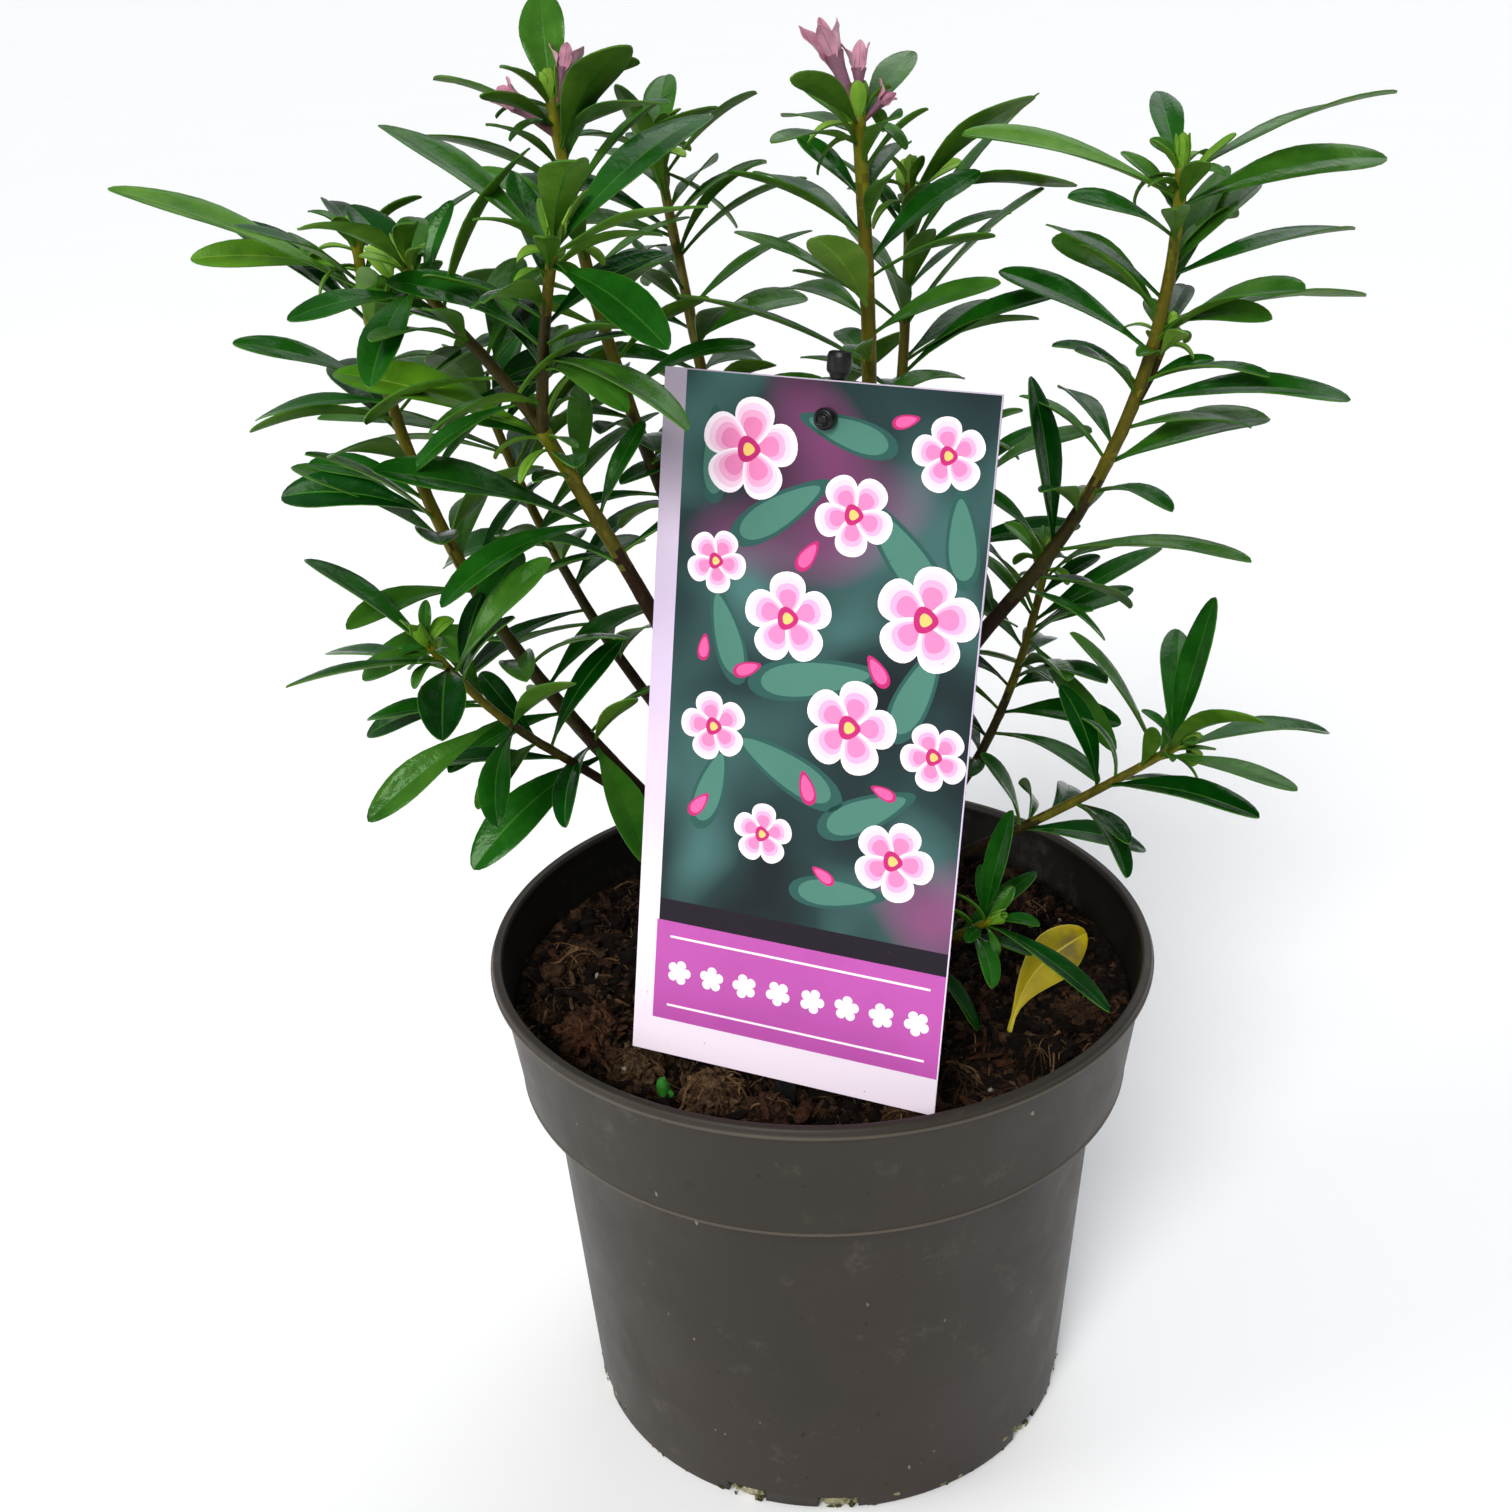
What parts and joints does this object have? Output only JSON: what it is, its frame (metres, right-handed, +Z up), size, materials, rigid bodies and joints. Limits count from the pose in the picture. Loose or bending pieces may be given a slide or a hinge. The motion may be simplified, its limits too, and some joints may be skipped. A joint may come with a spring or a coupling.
{
  "type": "potted daphne shrub",
  "caption": "Young evergreen flowering shrub with slim leafy shoots and faded blooms, in a round nursery pot with a plant card on a stake.",
  "frame": {"origin": "centre of the pot's flat underside", "axes": "+Z up, -Y towards the front where the plant card stands, +X to the right seen from the front"},
  "size_m": [0.315, 0.2105, 0.4008],
  "materials": {
    "pot_plastic": "satin taupe nursery pot",
    "compost": "damp bark compost",
    "card_print": "glossy printed plastic card",
    "black_plastic": "black moulded plastic",
    "yellow_leaf": "shed yellow leaf",
    "bark": "smooth red-brown young bark",
    "foliage": "leathery glossy evergreen leaves"
  },
  "bodies": {
    "root": {"pot": "pot_plastic", "soil": "compost", "card": "card_print", "card_stake": "black_plastic", "card_pin": "black_plastic", "fallen_leaf": "yellow_leaf", "trunk": "bark", "bough_left_front": "bark", "bough_left_side": "bark", "bough_left_low": "bark", "bough_rear_left": "bark", "bough_rear_inner": "bark", "bough_centre": "bark", "bough_centre_rear": "bark", "bough_right": "bark", "bough_right_rear": "bark", "bough_right_low": "bark", "bough_right_foot": "bark", "bough_back_left": "bark", "bough_back": "bark", "bough_back_right": "bark", "bough_front": "bark", "foliage_left_front": "foliage", "foliage_left_side": "foliage", "foliage_left_low": "foliage", "foliage_rear_left": "foliage", "foliage_rear_inner": "foliage", "foliage_centre": "foliage", "foliage_centre_rear": "foliage", "foliage_right": "foliage", "foliage_right_rear": "foliage", "foliage_right_low": "foliage", "foliage_right_foot": "foliage", "foliage_back_left": "foliage", "foliage_back": "foliage", "foliage_back_right": "foliage", "foliage_front": "foliage"}
  },
  "joints": []
}
